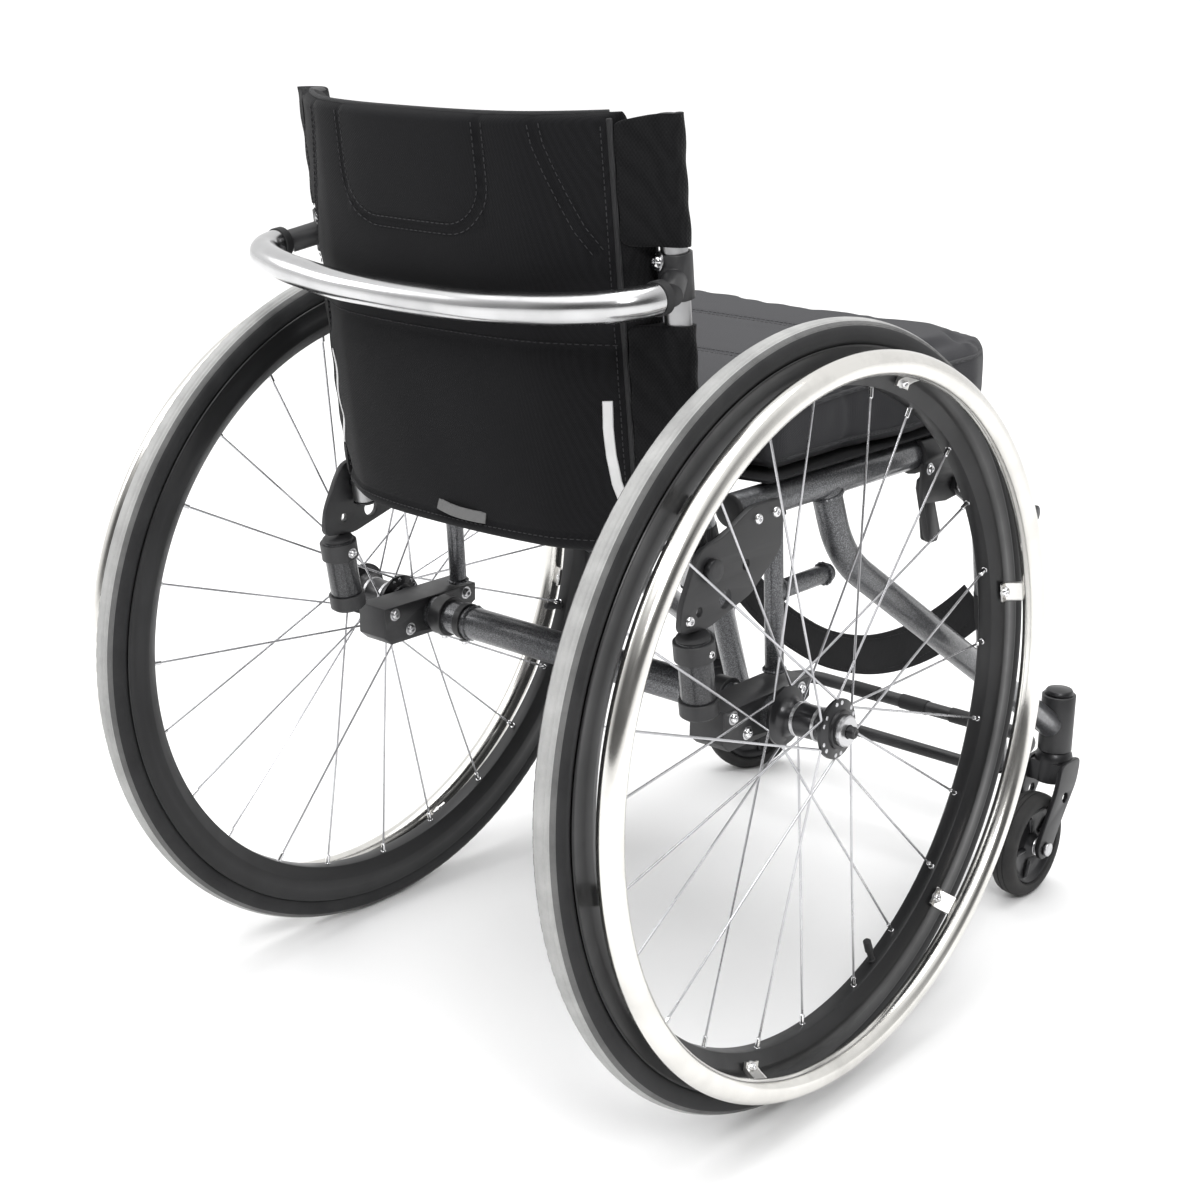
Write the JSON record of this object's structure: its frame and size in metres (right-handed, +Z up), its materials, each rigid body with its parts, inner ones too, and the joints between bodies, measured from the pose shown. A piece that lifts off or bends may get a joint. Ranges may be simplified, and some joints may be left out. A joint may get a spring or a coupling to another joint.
{
  "type": "manual wheelchair",
  "caption": "Rigid-frame manual wheelchair with cambered spoked wheels, hand rims, swivelling casters, folding wrap-round backrest and a curved push bar.",
  "frame": {"origin": "middle of the footprint on the ground", "axes": "+Z up, the chair faces -Y, +X is its left-hand side"},
  "size_m": [0.5686, 0.8396, 0.745],
  "materials": {
    "frame_paint": "anthracite metallic",
    "black_paint": "satin black",
    "black_alloy": "black anodised",
    "silver_alloy": "polished",
    "steel": "brushed",
    "tyre": "light grey tread with black side walls",
    "caster_rubber": "solid black",
    "black_fabric": "padded woven nylon",
    "grey_fabric": "woven cushion cover"
  },
  "bodies": {
    "frame": {"axle_tube": "frame_paint", "seat_sling": "black_fabric", "seat_cushion": "grey_fabric", "cross_tube": "frame_paint", "footrest_loop": "black_paint", "footrest_tube": "black_paint", "calf_strap": "black_fabric", "seat_rail_left": "frame_paint", "front_leg_left": "frame_paint", "caster_strut_left": "frame_paint", "caster_housing_left": "black_paint", "upright_tube_left": "frame_paint", "rear_post_left": "frame_paint", "hinge_bracket_left": "black_paint", "axle_carrier_left": "black_paint", "axle_pin_left": "steel", "lock_clamp_left": "black_paint", "hinge_pin_left": "steel", "seat_rail_right": "frame_paint", "front_leg_right": "frame_paint", "caster_strut_right": "frame_paint", "caster_housing_right": "black_paint", "upright_tube_right": "frame_paint", "rear_post_right": "frame_paint", "hinge_bracket_right": "black_paint", "axle_carrier_right": "black_paint", "axle_pin_right": "steel", "lock_clamp_right": "black_paint", "hinge_pin_right": "steel"},
    "backrest": {"back_pad": "black_fabric", "push_bar": "silver_alloy", "back_cane_left": "frame_paint", "bar_clamp_left": "black_paint", "back_cane_right": "frame_paint", "bar_clamp_right": "black_paint"},
    "wheel_left": {"tyre_left": "tyre", "rim_left": "black_alloy", "hub_left": "black_alloy", "pushrim_left": "silver_alloy"},
    "button_left": {"axle_button_left": "steel"},
    "caster_left": {"caster_fork_left": "black_alloy", "caster_stem_left": "steel", "caster_axle_left": "steel"},
    "caster_wheel_left": {"caster_tyre_left": "caster_rubber", "caster_rim_left": "black_alloy"},
    "lever_left": {"lock_lever_left": "black_paint"},
    "shoe_left": {"lock_shoe_left": "steel"},
    "wheel_right": {"tyre_right": "tyre", "rim_right": "black_alloy", "hub_right": "black_alloy", "pushrim_right": "silver_alloy"},
    "button_right": {"axle_button_right": "steel"},
    "caster_right": {"caster_fork_right": "black_alloy", "caster_stem_right": "steel", "caster_axle_right": "steel"},
    "caster_wheel_right": {"caster_tyre_right": "caster_rubber", "caster_rim_right": "black_alloy"},
    "lever_right": {"lock_lever_right": "black_paint"},
    "shoe_right": {"lock_shoe_right": "steel"}
  },
  "joints": [
    {"name": "backrest_fold", "type": "hinge", "parent": "frame", "child": "backrest", "pos_m": [0, 0.19283, 0.425], "axis": [1, 0, 0], "range_deg": [0, 40]},
    {"name": "wheel_spin_left", "type": "hinge", "parent": "frame", "child": "wheel_left", "pos_m": [0.232, 0.11983, 0.29988], "axis": [0.9996, 0, 0.0288], "continuous": true},
    {"name": "axle_button_left", "type": "slide", "parent": "frame", "child": "button_left", "axis": [-0.9996, 0, -0.0288], "range_m": [0, 0.003], "stiffness_N_per_m": 400},
    {"name": "caster_swivel_left", "type": "hinge", "parent": "frame", "child": "caster_left", "pos_m": [0.2, -0.33817, 0.15], "axis": [0, 0, 1], "continuous": true},
    {"name": "caster_spin_left", "type": "hinge", "parent": "caster_left", "child": "caster_wheel_left", "pos_m": [0.18, -0.37281, 0.05], "axis": [-0.866, 0.5, 0], "continuous": true},
    {"name": "lock_lever_left", "type": "hinge", "parent": "frame", "child": "lever_left", "pos_m": [0.18, -0.10517, 0.431], "axis": [-1, 0, 0], "range_deg": [0, 50]},
    {"name": "lock_shoe_left", "type": "hinge", "parent": "frame", "child": "shoe_left", "pos_m": [0.19, -0.14217, 0.427], "axis": [1, 0, 0], "range_deg": [0, 15]},
    {"name": "wheel_spin_right", "type": "hinge", "parent": "frame", "child": "wheel_right", "pos_m": [-0.232, 0.11983, 0.29988], "axis": [0.9996, 0, -0.0288], "continuous": true},
    {"name": "axle_button_right", "type": "slide", "parent": "frame", "child": "button_right", "axis": [0.9996, 0, -0.0288], "range_m": [0, 0.003], "stiffness_N_per_m": 400},
    {"name": "caster_swivel_right", "type": "hinge", "parent": "frame", "child": "caster_right", "pos_m": [-0.2, -0.33817, 0.15], "axis": [0, 0, 1], "continuous": true},
    {"name": "caster_spin_right", "type": "hinge", "parent": "caster_right", "child": "caster_wheel_right", "pos_m": [-0.2, -0.29817, 0.05], "axis": [1, 0, 0], "continuous": true},
    {"name": "lock_lever_right", "type": "hinge", "parent": "frame", "child": "lever_right", "pos_m": [-0.18, -0.10517, 0.431], "axis": [-1, 0, 0], "range_deg": [0, 50]},
    {"name": "lock_shoe_right", "type": "hinge", "parent": "frame", "child": "shoe_right", "pos_m": [-0.19, -0.14217, 0.427], "axis": [1, 0, 0], "range_deg": [0, 15]}
  ],
  "couplings": [
    {"joint": "lock_shoe_left", "follows": "lock_lever_left", "ratio": 0.3},
    {"joint": "lock_shoe_right", "follows": "lock_lever_right", "ratio": 0.3}
  ]
}
